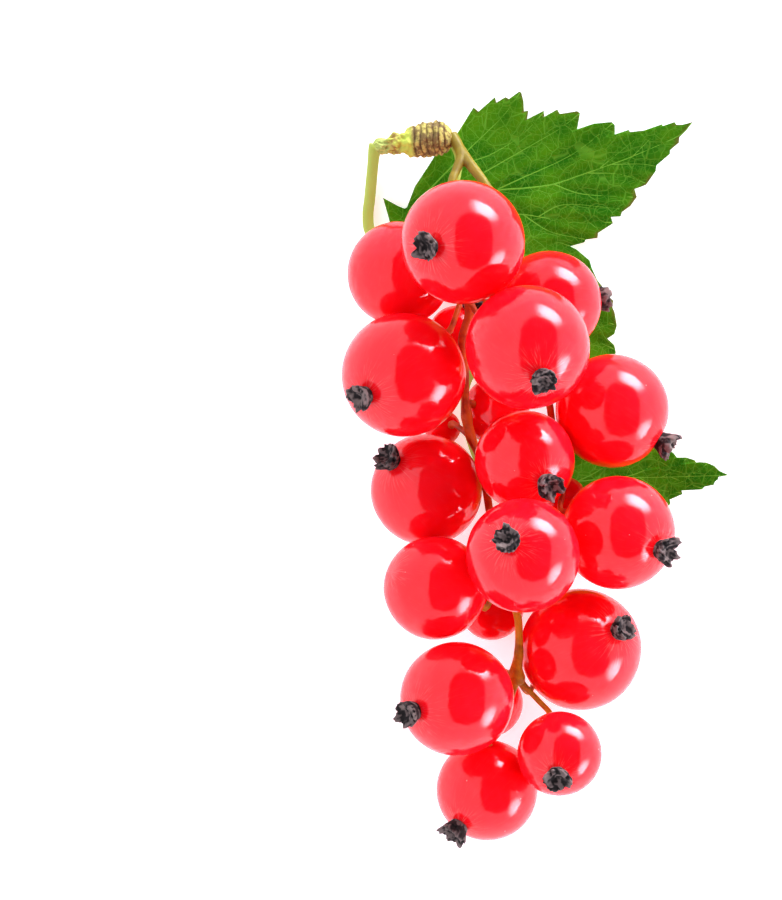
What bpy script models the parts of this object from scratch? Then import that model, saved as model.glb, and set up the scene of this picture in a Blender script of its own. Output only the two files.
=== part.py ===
"""A picked sprig of redcurrants lying on a table: berries, dried flowers, strig, woody spur and two leaves.

All tables are in millimetres, +X to the right of the sprig, +Y towards its spur and +Z up from the table.
The solids are made in metres and hang from one empty, which centres the sprig on the row's origin.
"""

import math

import bmesh
import bpy
import numpy as np
from mathutils import Matrix, Vector

MM = 0.001
GAP = 0.15  # air kept between berries that touch, and under a berry that rests on a leaf
JOINT_GAP = 0.25  # air kept where a stalk or a dried flower meets its neighbour

BERRY_SEGMENTS = 14
BERRY_RINGS = 10
BERRY_LENGTH = 1.0  # a redcurrant is as long as it is wide

CALYX_LENGTH = 1.4
CALYX_BASE_RADIUS = 0.72
CALYX_WAIST_RADIUS = 0.66
CALYX_TIP_RADIUS = 1.12
CALYX_SIDES = 8

RACHIS_RADIUS = 0.4
BRANCH_RADIUS = 0.36
PEDICEL_RADIUS = 0.29
PETIOLE_RADIUS = 0.42
ROUTE_STEP = 1.1  # distance between the points of a stalk's curve

LEAF_THICKNESS = 0.34
LEAF_CELL = 1.9  # spacing of the points that carry the blade's waves

# Each berry from the table up: x, y, diameter, then where its dried flower points (degrees round from +X,
# degrees above the table), in the order in which they would be laid down.
BERRIES = {
    "berry_21": (-8.35, 3.4, 3.2, 200, 0),
    "berry_16": (-4.0, -12.6, 5.8, 160, -8),
    "berry_17": (-4.2, -21.1, 6.0, 225, -12),
    "berry_18": (-3.6, 4.9, 6.0, 330, 5),
    "berry_20": (-7.0, 11.6, 5.4, 70, 12),
    "berry_15": (-4.4, -28.8, 9.0, 232, 25),
    "berry_14": (2.0, -25.5, 7.5, 262, 62),
    "berry_02": (-12.2, 17.1, 9.3, 255, -10),
    "berry_07": (-9.8, -2.1, 9.9, 141, 38),
    "berry_12": (3.9, -16.3, 10.8, 26, 47),
    "berry_03": (1.1, 14.5, 9.3, 4, -25),
    "berry_06": (6.7, 4.9, 10.1, 329, 3),
    "berry_19": (2.3, -3.2, 4.6, 280, -10),
    "berry_09": (7.2, -5.9, 10.1, 340, 38),
    "berry_11": (-9.0, -10.8, 9.2, 160, 20),
    "berry_04": (-11.8, 8.1, 11.0, 207, 45),
    "berry_13": (-7.1, -20.6, 10.1, 194, 38),
    "berry_08": (-1.1, 0.5, 8.9, 314, 54),
    "berry_01": (-6.6, 19.8, 11.0, 188, 58),
    "berry_05": (-0.9, 10.5, 11.0, 294, 59),
    "berry_10": (-1.3, -7.9, 10.1, 137, 72),
}
LOST_ITS_FLOWER = ("berry_11", "berry_21")
SHORT_FLOWERS = {"berry_16": 1.1, "berry_17": 1.1, "berry_18": 1.1, "berry_19": 1.0, "berry_20": 1.1}

# Where a stalk meets its berry when that isn't straight across from the dried flower.
STALK_END = {
    "berry_04": (45, -10), "berry_08": (170, -35), "berry_09": (158, -12), "berry_11": (340, -20),
    "berry_14": (104, -30), "berry_15": (88, 25), "berry_16": (20, 58), "berry_17": (70, 30),
    "berry_18": (165, 45), "berry_20": (300, 40), "berry_21": (15, 60),
}

# The strig's two arms, from the spur's end down through the bunch.
LEFT_ARM = (
    (-7.0, 29.25, 2.5), (-6.8, 28.3, 3.1), (-6.7, 27.3, 4.0), (-7.1, 26.0, 4.8), (-7.6, 24.5, 5.5),
    (-7.5, 22.2, 5.9), (-7.0, 19.2, 6.1), (-6.3, 16.0, 6.3), (-6.0, 13.7, 6.5), (-6.6, 11.5, 6.6),
    (-6.6, 9.8, 6.5), (-6.4, 7.3, 6.4), (-6.3, 5.0, 6.1), (-5.9, 2.7, 5.4), (-5.0, 0.6, 4.0),
    (-4.6, -1.4, 3.0), (-4.1, -4.6, 3.2), (-3.7, -7.5, 4.4), (-2.7, -10.8, 6.0), (-1.75, -13.2, 7.2),
    (-1.6, -15.2, 7.8), (-1.65, -17.2, 7.8), (-1.8, -19.3, 7.2),
)
RIGHT_ARM = (
    (-6.7, 27.3, 4.0), (-5.8, 26.2, 4.8), (-4.6, 24.9, 5.6), (-3.5, 23.2, 6.2), (-2.8, 20.9, 6.5),
    (-3.2, 18.1, 6.2), (-4.1, 15.9, 5.8), (-4.4, 13.9, 5.4), (-3.9, 12.0, 4.8), (-2.7, 9.8, 4.1),
    (-0.6, 8.3, 3.8), (0.9, 6.3, 3.8), (1.4, 3.7, 3.5), (1.7, 1.3, 3.6), (1.6, -0.2, 4.4),
)

# Each pedicel: the arm that it leaves, how far along that arm (0 to 1), and any points it bends through.
PEDICELS = {
    "berry_01": ("right", 0.30, ()),
    "berry_02": ("left", 0.13, ()),
    "berry_03": ("right", 0.49, ()),
    "berry_04": ("left", 0.28, ()),
    "berry_05": ("left", 0.31, ((-4.4, 12.6, 8.8),)),
    "berry_06": ("right", 0.76, ()),
    "berry_07": ("left", 0.62, ()),
    "berry_08": ("left", 0.50, ()),
    "berry_09": ("right", 0.98, ((2.3, -1.9, 5.4),)),
    "berry_10": ("left", 0.76, ((-1.6, -9.9, 7.2),)),
    "berry_11": ("left", 0.79, ()),
    "berry_12": ("left", 0.99, ((-0.7, -20.1, 4.6),)),
    "berry_13": ("left", 0.95, ()),
    "berry_14": ("left", 0.99, ((0.2, -20.9, 6.4),)),
    "berry_15": ("left", 0.99, ((-2.4, -20.9, 7.0), (-3.2, -22.8, 6.6))),
    "berry_16": ("left", 0.81, ()),
    "berry_17": ("left", 0.99, ()),
    "berry_18": ("left", 0.51, ()),
    "berry_19": ("right", 0.96, ()),
    "berry_20": ("left", 0.43, ()),
    "berry_21": ("left", 0.54, ()),
}

# The spur's centre line ends, and its profile: (share of its length, radius), from the stub to the cut.
SPUR_LEFT = (-13.5, 28.2, 2.2)
SPUR_RIGHT = (-7.65, 29.45, 2.4)
SPUR_PROFILE = (
    (0.0, 0.0), (0.0, 0.42), (0.12, 0.62), (0.27, 0.95), (0.36, 1.28), (0.42, 1.42), (0.47, 1.26), (0.53, 1.52),
    (0.58, 1.36), (0.65, 1.58), (0.70, 1.40), (0.77, 1.56), (0.82, 1.36), (0.88, 1.46), (0.94, 1.15), (1.0, 0.78),
    (1.0, 0.0),
)
SPUR_SIDES = 12

# Leaf margins, anticlockwise from the sinus where the stalk enters: tips and notches of the teeth.
UPPER_LEAF_BASE = (-11.4, 22.6)
UPPER_LEAF_MARGIN = (
    (-12.4, 21.9), (-13.0, 21.4), (-11.9, 20.6), (-10.6, 19.6), (-8.4, 17.6), (-5.7, 15.0), (-3.0, 12.7),
    (-0.4, 11.0), (2.2, 9.6), (4.5, 8.7), (6.2, 8.4), (7.0, 9.7), (6.9, 10.7), (6.3, 11.4), (7.1, 12.0), (7.2, 12.6),
    (6.9, 14.0), (6.8, 15.0), (6.1, 15.5), (5.5, 16.7), (4.9, 17.7), (4.8, 18.3), (3.7, 19.1), (3.1, 19.5),
    (4.3, 20.0), (5.5, 20.3), (5.7, 21.2), (6.8, 21.6), (7.0, 22.3), (8.0, 22.8), (8.9, 24.0), (8.8, 24.7),
    (10.4, 25.8), (10.7, 26.7), (11.9, 27.9), (12.7, 28.8), (13.2, 29.8), (13.8, 30.6), (12.9, 30.4), (12.3, 30.7),
    (11.2, 30.4), (9.5, 29.9), (8.2, 30.1), (7.0, 29.7), (6.9, 30.6), (5.1, 30.5), (3.8, 30.0), (3.9, 31.4),
    (2.0, 31.3), (0.7, 31.1), (-0.8, 31.0), (-1.3, 33.2), (-2.6, 32.7), (-3.6, 32.8), (-5.5, 31.9), (-7.0, 29.6),
    (-7.8, 28.7), (-9.0, 27.8), (-10.3, 25.6), (-11.8, 23.5), (-12.1, 23.1), (-13.6, 23.8),
)
LOWER_LEAF_BASE = (-2.6, -2.3)
LOWER_LEAF_MARGIN = (
    (-3.2, -2.7), (-3.0, -4.6), (-1.4, -6.0), (0.5, -7.0), (2.7, -7.5), (4.6, -8.4), (6.9, -8.4), (8.4, -7.0),
    (10.6, -5.1), (11.9, -3.5), (13.0, -2.5), (14.6, -2.1), (15.8, -1.7), (17.1, -0.8), (16.2, -0.4), (15.1, 0.3),
    (14.1, 0.3), (13.3, 0.8), (12.1, 0.9), (11.2, 1.6), (9.6, 1.5), (8.1, 1.2), (6.4, 1.7), (4.4, 2.5), (2.4, 2.6),
    (0.6, 2.4), (-1.2, 1.6), (-2.6, 0.4), (-3.2, -1.2), (-3.1, -2.0),
)
UPPER_PETIOLE = (
    (-14.1, 28.2, 2.1), (-14.45, 27.6, 1.9), (-14.55, 26.6, 1.4), (-14.7, 25.2, 1.0), (-14.85, 23.6, 0.8),
    (-15.05, 22.3, 0.7), (-14.8, 20.9, 0.72), (-13.7, 20.1, 0.75), (-12.3, 20.6, 0.75), (-11.0, 21.8, 0.72),
    (-9.9, 22.9, 0.7),
)
LOWER_PETIOLE = (
    (-7.2, 28.5, 1.25), (-6.95, 27.8, 1.5), (-6.9, 27.0, 1.6), (-7.1, 25.8, 1.6), (-7.4, 24.2, 1.5),
    (-7.4, 21.5, 1.35), (-6.6, 18.0, 1.3), (-5.3, 15.4, 1.25), (-4.3, 13.3, 1.05), (-4.2, 11.5, 0.75),
    (-4.8, 9.5, 0.6), (-6.1, 7.6, 0.6), (-6.4, 5.6, 0.6), (-6.2, 3.6, 0.6), (-5.5, 1.2, 0.58),
    (-4.4, -1.0, 0.55), (-2.6, -2.3, 0.55), (-1.6, -2.4, 0.55),
)


def upper_leaf_height(x, y):
    """Height of the upper leaf's middle: near the table under the bunch, curling up to its tip and top lobe."""
    tip_curl = 0.0095 * np.maximum(x + 1.0, 0.0) ** 2
    top_curl = 0.03 * np.maximum(y - 27.5, 0.0) ** 2
    ripple = 0.13 * np.sin(0.62 * x + 0.35 * y) * np.cos(0.5 * y - 0.3 * x)
    return 0.45 + tip_curl + top_curl + ripple


def lower_leaf_height(x, y):
    """Height of the lower leaf's middle: near the table under the bunch, curling up to its tip."""
    tip_curl = 0.022 * np.maximum(x - 7.5, 0.0) ** 2
    ripple = 0.1 * np.sin(0.6 * x + 0.8 * y)
    return 0.42 + tip_curl + ripple


LEAVES = {
    "leaf_upper": (UPPER_LEAF_BASE, UPPER_LEAF_MARGIN, upper_leaf_height, UPPER_PETIOLE),
    "leaf_lower": (LOWER_LEAF_BASE, LOWER_LEAF_MARGIN, lower_leaf_height, LOWER_PETIOLE),
}


def clear_scene():
    for obj in list(bpy.data.objects):
        bpy.data.objects.remove(obj, do_unlink=True)


def make_material(name, colour, roughness):
    material = bpy.data.materials.new(name)
    material.use_nodes = True
    shader = material.node_tree.nodes["Principled BSDF"]
    shader.inputs["Base Color"].default_value = (*colour, 1.0)
    shader.inputs["Roughness"].default_value = roughness
    shader.inputs["Metallic"].default_value = 0.0
    return material


def heading(turn, rise):
    """Unit vector at `turn` degrees round from +X and `rise` degrees above the table."""
    turn, rise = math.radians(turn), math.radians(rise)
    return np.array([math.cos(rise) * math.cos(turn), math.cos(rise) * math.sin(turn), math.sin(rise)])


def smooth_route(points, step=ROUTE_STEP):
    """Points about `step` apart on a Catmull-Rom curve through the given points."""
    points = np.array(points, float)
    padded = np.vstack([2 * points[0] - points[1], points, 2 * points[-1] - points[-2]])
    route = []
    for before, start, end, after in zip(padded, padded[1:], padded[2:], padded[3:]):
        count = max(1, round(float(np.linalg.norm(end - start)) / step))
        for share in np.arange(count)[:, None] / count:
            route.append(
                0.5 * (2 * start + (end - before) * share + (2 * before - 5 * start + 4 * end - after) * share**2
                       + (3 * start - before - 3 * end + after) * share**3)
            )
    return np.vstack([route, points[-1:]])


def point_along(route, share):
    """The point at `share` of the route's length."""
    lengths = np.linalg.norm(np.diff(route, axis=0), axis=1)
    travelled = np.concatenate([[0.0], np.cumsum(lengths)])
    return np.array([np.interp(share * travelled[-1], travelled, route[:, axis]) for axis in range(3)])


def leaf_points(base, margin, height, rings):
    """Points of a leaf blade: the margin drawn in towards the base by each share in `rings`, at its height."""
    base, margin = np.array(base), np.array(margin)
    flat = base + np.array(rings)[:, None, None] * (margin - base)
    return np.dstack([flat, height(flat[..., 0], flat[..., 1])])


def leaf_tops():
    """A close grid of points over both leaves' upper faces, for the berries to rest on."""
    rings = np.linspace(0.05, 1.0, 40)
    tops = []
    for base, margin, height, _ in LEAVES.values():
        closed = np.array(margin + margin[:1])
        sides = np.linspace(0.0, 1.0, 6)[:, None, None]
        edge = (closed[:-1] + sides * (closed[1:] - closed[:-1])).reshape(-1, 2)
        tops.append(leaf_points(base, edge, height, rings).reshape(-1, 3))
    tops = np.vstack(tops)
    tops[:, 2] += LEAF_THICKNESS / 2
    return tops


def stack_berries():
    """Centre and radius of each berry, each laid on the table, the leaves and the berries before it."""
    tops = leaf_tops()
    placed = {}
    for name, (x, y, diameter, _, _) in BERRIES.items():
        radius = diameter / 2
        under = np.hypot(tops[:, 0] - x, tops[:, 1] - y)
        near = under < radius + GAP
        height = radius
        if near.any():
            height = max(height, (tops[near, 2] + np.sqrt((radius + GAP) ** 2 - under[near] ** 2)).max())
        for centre, other in placed.values():
            reach = radius + other + GAP
            apart = math.hypot(centre[0] - x, centre[1] - y)
            if apart < reach:
                height = max(height, centre[2] + math.sqrt(reach**2 - apart**2))
        placed[name] = (np.array([x, y, height]), radius)
    return placed


def stalk_end(name, centre, radius):
    """Where the pedicel meets the berry, and the way out of the berry there."""
    turn, rise = STALK_END.get(name, (BERRIES[name][3] + 180, -BERRIES[name][4]))
    outward = heading(turn, rise)
    return centre + (radius + JOINT_GAP) * outward, outward


def pedicel_route(name, arms, placed):
    """The pedicel's curve from its arm to its berry, arriving straight along the berry's axis."""
    arm, share, bends = PEDICELS[name]
    end, outward = stalk_end(name, *placed[name])
    start = point_along(arms[arm], share)
    arrival = end + outward * min(0.9, 0.35 * float(np.linalg.norm(end - start)))
    return smooth_route([start, *bends, arrival, end], step=0.8)


def stem_routes(placed):
    """Every stalk of the strig: its points and its radius."""
    arms = {"left": smooth_route(LEFT_ARM), "right": smooth_route(RIGHT_ARM)}
    routes = [(arms["left"], RACHIS_RADIUS), (arms["right"], BRANCH_RADIUS)]
    routes += [(pedicel_route(name, arms, placed), PEDICEL_RADIUS) for name in PEDICELS]
    return routes


def link(obj, parts, material, centre_empty):
    parts.objects.link(obj)
    obj.data.materials.append(material)
    obj.parent = centre_empty


def tube_mesh(points, radius, resolution):
    """A closed tube along the points, as a mesh in metres."""
    curve = bpy.data.curves.new("tube", "CURVE")
    curve.dimensions = "3D"
    curve.bevel_depth = radius * MM
    curve.bevel_resolution = resolution
    curve.use_fill_caps = True
    spline = curve.splines.new("POLY")
    spline.points.add(len(points) - 1)
    flat = np.hstack([np.asarray(points) * MM, np.ones((len(points), 1))])
    spline.points.foreach_set("co", flat.ravel())
    curve_object = bpy.data.objects.new("tube", curve)
    bpy.context.scene.collection.objects.link(curve_object)
    bpy.context.view_layer.update()
    graph = bpy.context.evaluated_depsgraph_get()
    mesh = bpy.data.meshes.new_from_object(curve_object.evaluated_get(graph))
    bpy.data.objects.remove(curve_object)
    bpy.data.curves.remove(curve)
    shape = bmesh.new()
    shape.from_mesh(mesh)
    bmesh.ops.remove_doubles(shape, verts=shape.verts, dist=1e-6)
    bmesh.ops.recalc_face_normals(shape, faces=shape.faces)
    shape.to_mesh(mesh)
    shape.free()
    return mesh


def join_shapes(obj, meshes, cutters, operation):
    """Adds a Boolean with each mesh to the object, held by a hidden helper."""
    for mesh in meshes:
        number = len(obj.modifiers) + 1
        helper = bpy.data.objects.new(f"{obj.name}_shape_{number:02d}", mesh)
        helper.hide_render = True
        helper.display_type = "WIRE"
        helper.parent = obj.parent
        cutters.objects.link(helper)
        boolean = obj.modifiers.new(f"shape_{number:02d}", "BOOLEAN")
        boolean.operation = operation
        boolean.object = helper


def add_berry(name, centre, radius, parts, material, centre_empty):
    """A round berry."""
    mesh = bpy.data.meshes.new(name)
    shape = bmesh.new()
    bmesh.ops.create_uvsphere(shape, u_segments=BERRY_SEGMENTS, v_segments=BERRY_RINGS, radius=radius * MM)
    bmesh.ops.scale(shape, vec=(1.0, 1.0, BERRY_LENGTH), verts=shape.verts)
    shape.to_mesh(mesh)
    shape.free()
    mesh.shade_smooth()
    obj = bpy.data.objects.new(name, mesh)
    obj.location = Vector(centre) * MM
    link(obj, parts, material, centre_empty)


def turned_mesh(name, profile):
    """An open profile in the XZ plane, at +X and from top to bottom, ready for a Screw modifier."""
    mesh = bpy.data.meshes.new(name)
    points = [(radius * MM, 0.0, height * MM) for radius, height in profile]
    mesh.from_pydata(points, [(i, i + 1) for i in range(len(points) - 1)], [])
    return mesh


def add_screw(obj, steps):
    screw = obj.modifiers.new("turn", "SCREW")
    screw.steps = steps
    screw.render_steps = steps
    screw.use_merge_vertices = True
    screw.merge_threshold = 0.00005


def aim(obj, place, direction):
    """Stands the object at a place with its +Z along the direction."""
    turn = Vector((0, 0, 1)).rotation_difference(Vector(direction))
    obj.matrix_local = Matrix.LocRotScale(Vector(place) * MM, turn, None)


def add_calyx(name, centre, radius, parts, material, centre_empty):
    """The withered flower at the far end of a berry: a short waist under a flared, dished rim."""
    length = SHORT_FLOWERS.get(name, CALYX_LENGTH)
    profile = (
        (0.0, 0.72 * length), (CALYX_TIP_RADIUS, length), (CALYX_WAIST_RADIUS, 0.4 * length),
        (CALYX_BASE_RADIUS, 0.0), (0.0, 0.0),
    )
    obj = bpy.data.objects.new(name.replace("berry", "calyx"), turned_mesh("calyx", profile))
    direction = heading(BERRIES[name][3], BERRIES[name][4])
    link(obj, parts, material, centre_empty)
    aim(obj, centre + (radius + JOINT_GAP) * direction, direction)
    add_screw(obj, CALYX_SIDES)


def add_spur(parts, material, centre_empty):
    """The ringed woody spur that bore the bunch, thinning to a stub at its left end."""
    start, end = np.array(SPUR_LEFT), np.array(SPUR_RIGHT)
    length = float(np.linalg.norm(end - start))
    profile = [(radius, share * length) for share, radius in reversed(SPUR_PROFILE)]
    obj = bpy.data.objects.new("spur", turned_mesh("spur", profile))
    link(obj, parts, material, centre_empty)
    aim(obj, start, (end - start) / length)
    add_screw(obj, SPUR_SIDES)


def add_strig(placed, parts, cutters, material, centre_empty):
    """The stalk system that grew as one piece: the left arm, with the right arm and the pedicels joined on."""
    tubes = [tube_mesh(points, radius, 1) for points, radius in stem_routes(placed)]
    obj = bpy.data.objects.new("strig", tubes[0])
    link(obj, parts, material, centre_empty)
    join_shapes(obj, tubes[1:], cutters, "UNION")


def blade_sheet(margin, height):
    """A waved sheet over the margin's whole box, at the leaf's height."""
    margin = np.array(margin)
    low, high = margin.min(axis=0) - 1.0, margin.max(axis=0) + 1.0
    cells = np.ceil((high - low) / LEAF_CELL).astype(int)
    mesh = bpy.data.meshes.new("sheet")
    shape = bmesh.new()
    bmesh.ops.create_grid(shape, x_segments=int(cells[0]), y_segments=int(cells[1]), size=1.0)
    for point in shape.verts:
        x, y = (low + high) / 2 + (high - low) / 2 * np.array(point.co[:2])
        point.co = Vector((x, y, float(height(x, y)))) * MM
    shape.to_mesh(mesh)
    shape.free()
    return mesh


def margin_prism(margin):
    """The leaf's toothed outline as a block, taller than any wave of the blade."""
    mesh = bpy.data.meshes.new("outline")
    shape = bmesh.new()
    face = shape.faces.new([shape.verts.new((x * MM, y * MM, -2 * MM)) for x, y in margin])
    raised = bmesh.ops.extrude_face_region(shape, geom=[face])["geom"]
    lifted = [part for part in raised if isinstance(part, bmesh.types.BMVert)]
    bmesh.ops.translate(shape, vec=(0.0, 0.0, 9 * MM), verts=lifted)
    bmesh.ops.recalc_face_normals(shape, faces=shape.faces)
    shape.to_mesh(mesh)
    shape.free()
    return mesh


def add_leaf(name, parts, cutters, material, centre_empty):
    """A waved sheet, thickened and cut to its toothed outline, with its petiole joined on."""
    _, margin, height, petiole = LEAVES[name]
    obj = bpy.data.objects.new(name, blade_sheet(margin, height))
    link(obj, parts, material, centre_empty)
    thicken = obj.modifiers.new("thickness", "SOLIDIFY")
    thicken.thickness = LEAF_THICKNESS * MM
    thicken.offset = 0.0
    join_shapes(obj, [margin_prism(margin)], cutters, "INTERSECT")
    join_shapes(obj, [tube_mesh(smooth_route(petiole), PETIOLE_RADIUS, 1)], cutters, "UNION")


def centre_on_origin(parts, centre_empty):
    """Moves the empty so that the sprig's box stands centred on the origin, with its foot at height 0."""
    bpy.context.view_layer.update()
    graph = bpy.context.evaluated_depsgraph_get()
    corners = [
        obj.evaluated_get(graph).matrix_world @ Vector(corner)
        for obj in parts.objects
        for corner in obj.evaluated_get(graph).bound_box
        if obj.type == "MESH"
    ]
    low = [min(corner[axis] for corner in corners) for axis in range(3)]
    high = [max(corner[axis] for corner in corners) for axis in range(3)]
    centre_empty.location -= Vector(((low[0] + high[0]) / 2, (low[1] + high[1]) / 2, low[2]))


def main():
    clear_scene()
    parts = bpy.data.collections.new("redcurrant_sprig")
    cutters = bpy.data.collections.new("joined_shapes")
    for collection in (parts, cutters):
        bpy.context.scene.collection.children.link(collection)
    centre_empty = bpy.data.objects.new("sprig_centre", None)
    parts.objects.link(centre_empty)

    berry_red = make_material("berry_red", (0.82, 0.01, 0.015), 0.12)
    dry_brown = make_material("dry_flower", (0.06, 0.045, 0.04), 0.9)
    stem_ochre = make_material("stem_ochre", (0.62, 0.38, 0.07), 0.5)
    bark_tan = make_material("spur_bark", (0.36, 0.25, 0.12), 0.85)
    leaf_green = make_material("leaf_green", (0.07, 0.26, 0.02), 0.55)

    placed = stack_berries()
    for name, (centre, radius) in placed.items():
        add_berry(name, centre, radius, parts, berry_red, centre_empty)
        if name not in LOST_ITS_FLOWER:
            add_calyx(name, centre, radius, parts, dry_brown, centre_empty)
    add_strig(placed, parts, cutters, stem_ochre, centre_empty)
    add_spur(parts, bark_tan, centre_empty)
    for name in LEAVES:
        add_leaf(name, parts, cutters, leaf_green, centre_empty)
    centre_on_origin(parts, centre_empty)


if __name__ == "__main__":
    main()
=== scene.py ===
# %% [markdown]
# # A picked sprig of redcurrants
# The sprig lies on a pale surface and is seen from straight above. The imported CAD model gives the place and
# the size of every berry, withered flower, stalk and leaf. This script makes the finished surface of each
# of them, and then its material. Every surface is worked out with numpy, in millimetres, and becomes a mesh
# in metres.

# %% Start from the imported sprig
import math

import bpy
import numpy as np
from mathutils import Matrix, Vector


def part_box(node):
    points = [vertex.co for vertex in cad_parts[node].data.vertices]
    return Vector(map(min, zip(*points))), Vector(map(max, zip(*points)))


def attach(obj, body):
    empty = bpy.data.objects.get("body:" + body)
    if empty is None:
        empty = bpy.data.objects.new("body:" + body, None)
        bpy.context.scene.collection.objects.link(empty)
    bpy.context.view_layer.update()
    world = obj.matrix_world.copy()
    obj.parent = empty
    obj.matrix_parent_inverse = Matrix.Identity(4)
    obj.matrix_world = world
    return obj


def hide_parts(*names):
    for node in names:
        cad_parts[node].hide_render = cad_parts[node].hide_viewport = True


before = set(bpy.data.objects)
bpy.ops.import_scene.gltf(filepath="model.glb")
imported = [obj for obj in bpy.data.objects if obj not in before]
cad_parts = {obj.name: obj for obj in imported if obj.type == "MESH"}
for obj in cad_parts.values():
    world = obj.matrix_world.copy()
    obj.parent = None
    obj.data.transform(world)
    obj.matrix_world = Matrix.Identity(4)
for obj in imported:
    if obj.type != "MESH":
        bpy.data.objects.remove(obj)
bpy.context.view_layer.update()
MM = 0.001

# %% [markdown]
# ## Where things are
# A berry's centre and width are its CAD box's. Stalks and leaves are drawn by routes and outlines in the
# sprig's own drawing, whose zero isn't the model's. One small berry that lies on the table, and whose place
# in the drawing is known, tells how far the drawing was moved.


# %% Places from the CAD boxes
def box_middle(node):
    """The middle of a CAD node's box, in millimetres."""
    low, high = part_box(node)
    return np.array((low + high) / 2) / MM


def berry_size(node):
    """A berry's radius in millimetres: half the height of its box."""
    low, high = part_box(node)
    return (high.z - low.z) / 2 / MM


TABLE_BERRY_DRAWN = np.array([-4.0, -12.6, 2.9])
MOVED = box_middle("berry_16") - TABLE_BERRY_DRAWN
BERRY_NAMES = sorted(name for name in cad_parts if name.startswith("berry_"))
CENTRES = {name: box_middle(name) for name in BERRY_NAMES}
RADII = {name: berry_size(name) for name in BERRY_NAMES}
print("drawing moved by", MOVED.round(2), "mm;", len(BERRY_NAMES), "berries")

# %% [markdown]
# ## Skins
# Every piece here is a closed skin: rings of points, each joined to the next by quads, with a point that
# closes each end. A skin also carries marks, which are values at its points, such as how near a point is to
# the withered flower. A material reads them as attributes, so its pattern follows the shape.


# %% Helpers that make skins and pieces
def closed_skin(rings, first, last, **marks):
    """Rings of points joined by quads, with a fan of triangles to one point at each end, facing outwards.

    The volume inside is the sum of the corners' triple products over six. Where it is negative, the faces
    turn round.
    """
    count, around = rings.shape[:2]
    here = np.arange(count * around).reshape(count, around)
    beside = np.roll(here, -1, axis=1)
    quads = np.stack([here[:-1], beside[:-1], beside[1:], here[1:]], axis=-1).reshape(-1, 4)
    start = np.stack([beside[0], here[0], np.full(around, count * around)], axis=-1)
    end = np.stack([here[-1], beside[-1], np.full(around, count * around + 1)], axis=-1)
    fans = np.vstack([start, end])
    points = np.vstack([rings.reshape(-1, 3), first, last])
    corners = points[np.vstack([quads[:, :3], quads[:, [0, 2, 3]], fans])]
    if np.einsum("ij,ij->i", corners[:, 0], np.cross(corners[:, 1], corners[:, 2])).sum() < 0:
        quads, fans = quads[:, ::-1], fans[:, ::-1]
    full = {}
    for name, value in marks.items():
        flat = value.reshape(count * around, -1)
        full[name] = np.vstack([flat, flat[:around].mean(axis=0), flat[-around:].mean(axis=0)])
    return {"points": points, "quads": quads, "fans": fans, "marks": full}


def mesh_of(name, skins):
    """One mesh from several skins, in metres, with their marks as attributes."""
    starts = np.cumsum([0] + [len(skin["points"]) for skin in skins])
    quads = np.vstack([skin["quads"] + start for skin, start in zip(skins, starts)])
    fans = np.vstack([skin["fans"] + start for skin, start in zip(skins, starts)])
    points = np.vstack([skin["points"] for skin in skins]) * MM
    mesh = bpy.data.meshes.new(name)
    mesh.from_pydata(points, [], quads.tolist() + fans.tolist())
    for mark in skins[0]["marks"]:
        values = np.vstack([skin["marks"][mark] for skin in skins])
        wide = values.shape[1] == 3
        attribute = mesh.attributes.new(mark, "FLOAT_VECTOR" if wide else "FLOAT", "POINT")
        attribute.data.foreach_set("vector" if wide else "value", values.ravel().astype(np.float32))
    mesh.shade_smooth()
    return mesh


def finish_piece(name, mesh, material, slot, *nodes):
    """Puts a mesh in the scene as a piece of the sprig that stands for the given CAD nodes."""
    piece = bpy.data.objects.new(name, mesh)
    bpy.context.scene.collection.objects.link(piece)
    mesh.materials.append(material)
    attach(piece, "root")
    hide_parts(*nodes)


def uneven(points, size, seed, waves=7):
    """Smooth uneven values, mostly between -1 and 1: the mean of sine waves that run in random directions.

    `size` is the distance between crests, in the unit of the points.
    """
    rng = np.random.default_rng(seed)
    ways = rng.normal(size=(waves, 3))
    ways /= np.linalg.norm(ways, axis=1, keepdims=True)
    starts = rng.uniform(0, 2 * np.pi, waves)
    return np.sin(points @ ways.T * (2 * np.pi / size) + starts).sum(axis=-1) / math.sqrt(waves)


def axes_along(direction):
    """Three unit vectors at right angles, the last one along the direction."""
    along = np.array(direction) / np.linalg.norm(direction)
    helper = np.eye(3)[np.argmin(np.abs(along))]
    across = np.cross(along, helper)
    across /= np.linalg.norm(across)
    return np.array([across, np.cross(along, across), along])


# %% [markdown]
# ## Building materials from nodes
# A material is a graph of small nodes. These helpers add a node, set its settings, and join its inputs, so
# that each finish below reads as a list of what it is made from.


# %% Helpers that make materials
def add_node(tree, kind, *inputs, **settings):
    """A shader node, with its settings, and its first inputs set to values or joined to other outputs."""
    node = tree.nodes.new("ShaderNode" + kind)
    for name, value in settings.items():
        setattr(node, name, value)
    for slot, value in zip(node.inputs, inputs):
        feed(tree, slot, value)
    return node


def feed(tree, slot, value):
    """Joins an output to an input, or sets the input's own value. None leaves it as it is."""
    if isinstance(value, bpy.types.NodeSocket):
        tree.links.new(value, slot)
    elif value is not None:
        slot.default_value = value


def maths(tree, operation, first, second=None, third=None):
    """The output of one Math node."""
    return add_node(tree, "Math", first, second, third, operation=operation).outputs[0]


def blend_colours(tree, share, first, second):
    """A colour between two colours: the first at share 0, the second at share 1."""
    return add_node(tree, "MixRGB", share, colour(first), colour(second)).outputs[0]


def colour(value):
    """A colour's three numbers with an opacity of 1, or an output as it is."""
    return (*value, 1.0) if isinstance(value, tuple) else value


def mark(tree, name, vector=False):
    """The values that a skin carries under a name."""
    return add_node(tree, "Attribute", attribute_name=name).outputs["Vector" if vector else "Fac"]


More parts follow.
